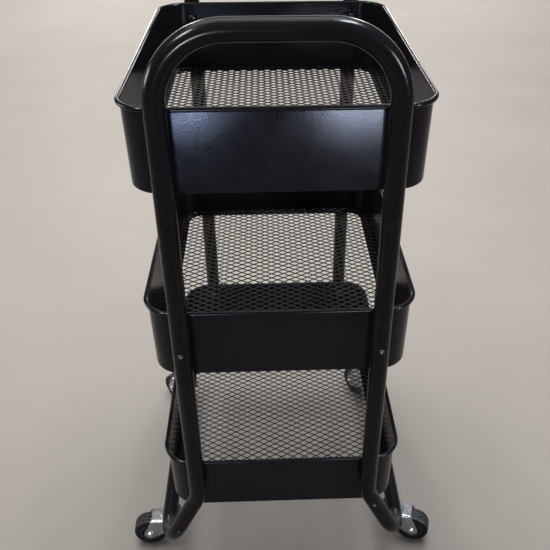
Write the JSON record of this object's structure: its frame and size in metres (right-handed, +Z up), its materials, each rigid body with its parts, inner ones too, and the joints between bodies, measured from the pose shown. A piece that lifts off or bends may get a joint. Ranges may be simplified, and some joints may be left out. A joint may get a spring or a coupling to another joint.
{
  "type": "rolling salon trolley",
  "caption": "Rolling salon trolley: deep black sheet-metal trays with mesh floors between bent-tube end hoops, on splayed base tubes with swivel casters.",
  "frame": {"origin": "on the floor, under the middle of the trolley", "axes": "+Z up; X across the short side, +X to the right seen from the front; Y along the long side, -Y at the front end"},
  "size_m": [0.503, 0.5174, 0.884],
  "materials": {
    "frame_black": "semi-gloss black powder coat on steel tube",
    "tray_black": "semi-gloss black powder coat on steel sheet",
    "mesh_black": "black powder coat on expanded steel mesh",
    "plain_steel": "bare steel, out of sight",
    "screw_zinc": "bright zinc plate",
    "screw_black": "black oxide steel, worn bright in the socket",
    "washer_black": "glossy black nylon",
    "spacer_black": "black nylon",
    "caster_zinc": "satin zinc plate with a blue passivate",
    "bolt_zinc": "bright zinc plate",
    "ball_steel": "polished bearing steel",
    "hub_black": "moulded black plastic",
    "tyre_rubber": "black thermoplastic rubber with a ribbed tread"
  },
  "bodies": {
    "frame": {"bottom_tray_leg_nuts": "plain_steel", "bottom_tray_mesh": "mesh_black", "bottom_tray_screws": "screw_black", "bottom_tray_shell": "tray_black", "bottom_tray_spacers": "spacer_black", "bottom_tray_washers": "washer_black", "caster_sockets": "frame_black", "front_hoop": "frame_black", "front_left_balls": "ball_steel", "front_left_cup": "caster_zinc", "front_left_stem": "caster_zinc", "front_right_balls": "ball_steel", "front_right_cup": "caster_zinc", "front_right_stem": "caster_zinc", "joint_screws": "screw_zinc", "joint_spigots": "frame_black", "left_base_tube": "frame_black", "middle_tray_mesh": "mesh_black", "middle_tray_screws": "screw_black", "middle_tray_shell": "tray_black", "middle_tray_spacers": "spacer_black", "middle_tray_washers": "washer_black", "rear_hoop": "frame_black", "rear_left_balls": "ball_steel", "rear_left_cup": "caster_zinc", "rear_left_stem": "caster_zinc", "rear_right_balls": "ball_steel", "rear_right_cup": "caster_zinc", "rear_right_stem": "caster_zinc", "right_base_tube": "frame_black", "top_tray_leg_nuts": "plain_steel", "top_tray_mesh": "mesh_black", "top_tray_screws": "screw_black", "top_tray_shell": "tray_black", "top_tray_spacers": "spacer_black", "top_tray_washers": "washer_black"},
    "front_left_swivel": {"front_left_axle_bolt": "bolt_zinc", "front_left_axle_nut": "bolt_zinc", "front_left_fork": "caster_zinc"},
    "front_left_wheel": {"front_left_hub": "hub_black", "front_left_tyre": "tyre_rubber"},
    "front_right_swivel": {"front_right_axle_bolt": "bolt_zinc", "front_right_axle_nut": "bolt_zinc", "front_right_fork": "caster_zinc"},
    "front_right_wheel": {"front_right_hub": "hub_black", "front_right_tyre": "tyre_rubber"},
    "rear_left_swivel": {"rear_left_axle_bolt": "bolt_zinc", "rear_left_axle_nut": "bolt_zinc", "rear_left_fork": "caster_zinc"},
    "rear_left_wheel": {"rear_left_hub": "hub_black", "rear_left_tyre": "tyre_rubber"},
    "rear_right_swivel": {"rear_right_axle_bolt": "bolt_zinc", "rear_right_axle_nut": "bolt_zinc", "rear_right_fork": "caster_zinc"},
    "rear_right_wheel": {"rear_right_hub": "hub_black", "rear_right_tyre": "tyre_rubber"}
  },
  "joints": [
    {"name": "front_right_caster_swivel", "type": "hinge", "parent": "frame", "child": "front_right_swivel", "pos_m": [0.186, -0.165, 0.06], "axis": [0, 0, 1], "continuous": true},
    {"name": "front_right_wheel_spin", "type": "hinge", "parent": "front_right_swivel", "child": "front_right_wheel", "pos_m": [0.22301, -0.17561, 0.027], "axis": [-0.2756, -0.9613, 0], "continuous": true},
    {"name": "front_left_caster_swivel", "type": "hinge", "parent": "frame", "child": "front_left_swivel", "pos_m": [-0.186, -0.165, 0.06], "axis": [0, 0, 1], "continuous": true},
    {"name": "front_left_wheel_spin", "type": "hinge", "parent": "front_left_swivel", "child": "front_left_wheel", "pos_m": [-0.22449, -0.16567, 0.027], "axis": [0.0175, -0.9998, 0], "continuous": true},
    {"name": "rear_left_caster_swivel", "type": "hinge", "parent": "frame", "child": "rear_left_swivel", "pos_m": [-0.186, 0.165, 0.06], "axis": [0, 0, 1], "continuous": true},
    {"name": "rear_left_wheel_spin", "type": "hinge", "parent": "rear_left_swivel", "child": "rear_left_wheel", "pos_m": [-0.21322, 0.19222, 0.027], "axis": [-0.7071, -0.7071, 0], "continuous": true},
    {"name": "rear_right_caster_swivel", "type": "hinge", "parent": "frame", "child": "rear_right_swivel", "pos_m": [0.186, 0.165, 0.06], "axis": [0, 0, 1], "continuous": true},
    {"name": "rear_right_wheel_spin", "type": "hinge", "parent": "rear_right_swivel", "child": "rear_right_wheel", "pos_m": [0.16675, 0.19834, 0.027], "axis": [-0.866, -0.5, 0], "continuous": true}
  ]
}
